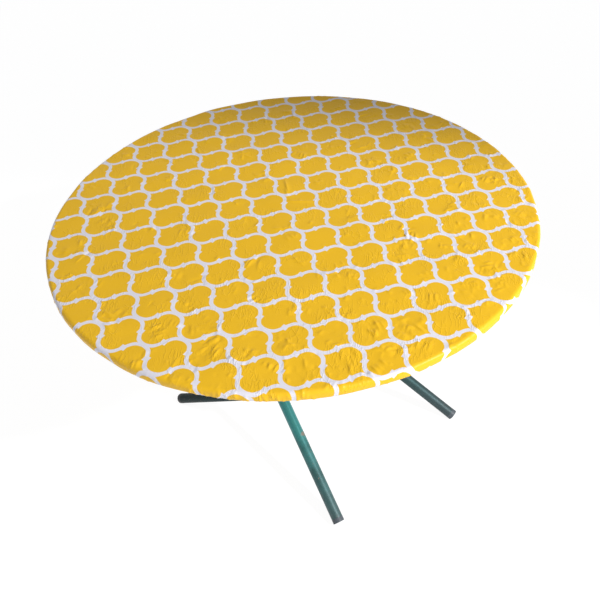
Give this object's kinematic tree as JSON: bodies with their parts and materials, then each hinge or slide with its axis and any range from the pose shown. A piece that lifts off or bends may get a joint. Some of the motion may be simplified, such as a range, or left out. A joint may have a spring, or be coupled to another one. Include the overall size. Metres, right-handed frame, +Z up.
{
  "type": "tablecloth on a table",
  "caption": "Fitted round vinyl tablecloth with an elastic hem, stretched over a round table top that stands on crossed, bolted steel tube legs.",
  "frame": {"origin": "middle of the table on the floor it stands on", "axes": "+Z up; the feet of each crossed pair are parted along Y and the two pairs along X"},
  "size_m": [1.1198, 1.12, 0.74],
  "materials": {
    "vinyl_face": "semi-gloss yellow vinyl with a white trellis print and fine creases",
    "flannel": "napped off-white non-woven flannel backing",
    "hem_fabric": "vinyl folded over and gathered on the elastic",
    "elastic": "white braided elastic",
    "thread": "off-white polyester thread",
    "board": "raw particle board underside",
    "edge_band": "moulded brown plastic edge band",
    "frame_paint": "dark slate-green paint",
    "leg_paint": "glossy teal to slate-green paint, worn",
    "foot_plastic": "blue-grey moulded caps, scuffed",
    "black_plastic": "black moulded plugs",
    "insert_steel": "plain turned steel",
    "zinc": "bright zinc plated"
  },
  "bodies": {
    "root": {"cloth_face": "vinyl_face", "cloth_backing": "flannel", "hem_casing": "hem_fabric", "hem_elastic": "elastic", "hem_stitching": "thread", "top_board": "board", "edge_band": "edge_band", "rail_front": "frame_paint", "rail_back": "frame_paint", "rail_plugs": "black_plastic", "spreader_left": "frame_paint", "spreader_right": "frame_paint", "rail_screws": "zinc", "rail_washers": "zinc", "leg_front_left": "leg_paint", "leg_front_right": "leg_paint", "leg_back_left": "leg_paint", "leg_back_right": "leg_paint", "foot_cap_front_left": "foot_plastic", "foot_cap_front_right": "foot_plastic", "foot_cap_back_left": "foot_plastic", "foot_cap_back_right": "foot_plastic", "cross_bolts": "zinc", "cross_washers": "zinc", "cross_nuts": "zinc", "stretcher_front": "leg_paint", "stretcher_back": "leg_paint", "stretcher_inserts": "insert_steel", "stretcher_bolts": "zinc", "stretcher_washers": "zinc"}
  },
  "joints": []
}
